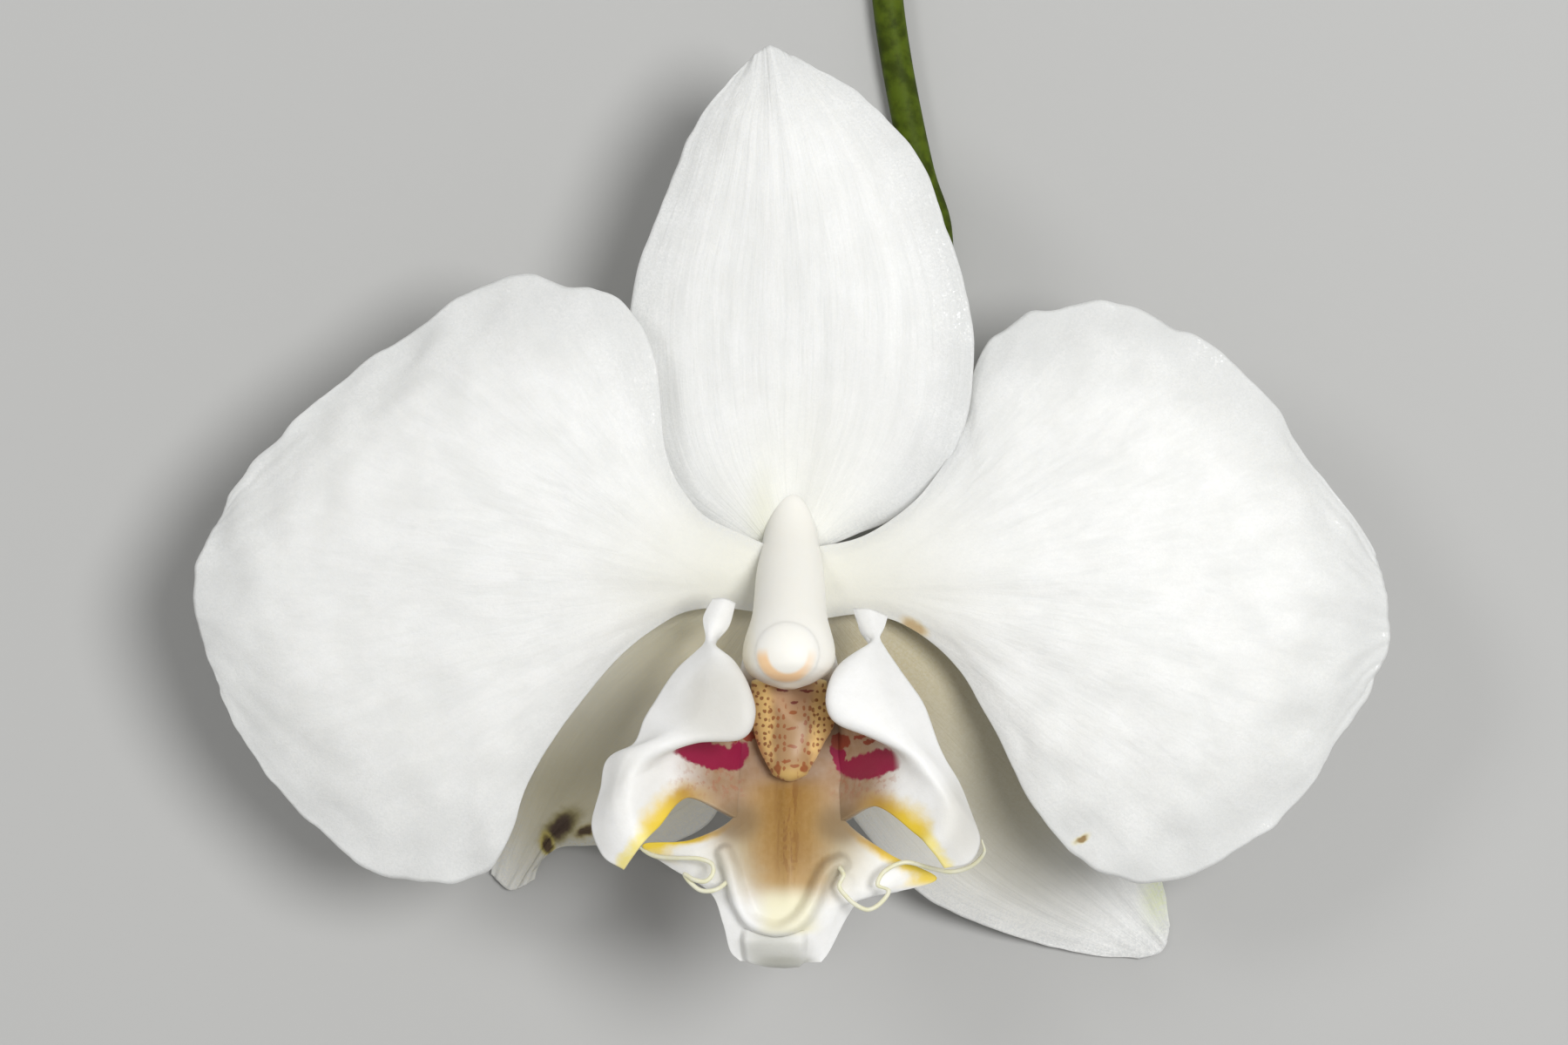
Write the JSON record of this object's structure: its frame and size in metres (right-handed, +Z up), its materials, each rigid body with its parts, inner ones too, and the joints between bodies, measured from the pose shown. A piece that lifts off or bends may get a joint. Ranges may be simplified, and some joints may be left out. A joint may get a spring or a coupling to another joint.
{
  "type": "moth orchid flower",
  "caption": "Open moth orchid flower with broad petals, narrower sepals, a lobed lip, a column and a cut stem, lying on its back.",
  "frame": {"origin": "middle of the flower's bounding box, on the surface that it lies on", "axes": "+Z up out of the flower's face, +Y towards the back sepal and the cut end of the stem, +X towards the petal on the viewer's right"},
  "size_m": [0.1004, 0.087, 0.032],
  "materials": {
    "petal_white": "satin, slightly waxy",
    "lip_white": "satin, slightly waxy",
    "callus_yellow": "waxy",
    "column_cream": "waxy",
    "cap_apricot": "waxy",
    "stem_green": "satin"
  },
  "bodies": {
    "root": {"sepal_dorsal": "petal_white", "sepal_lateral_left": "petal_white", "sepal_lateral_right": "petal_white", "petal_left": "petal_white", "petal_right": "petal_white", "lip": "lip_white", "callus": "callus_yellow", "column": "column_cream", "anther_cap": "cap_apricot", "stem_and_ovary": "stem_green"}
  },
  "joints": []
}
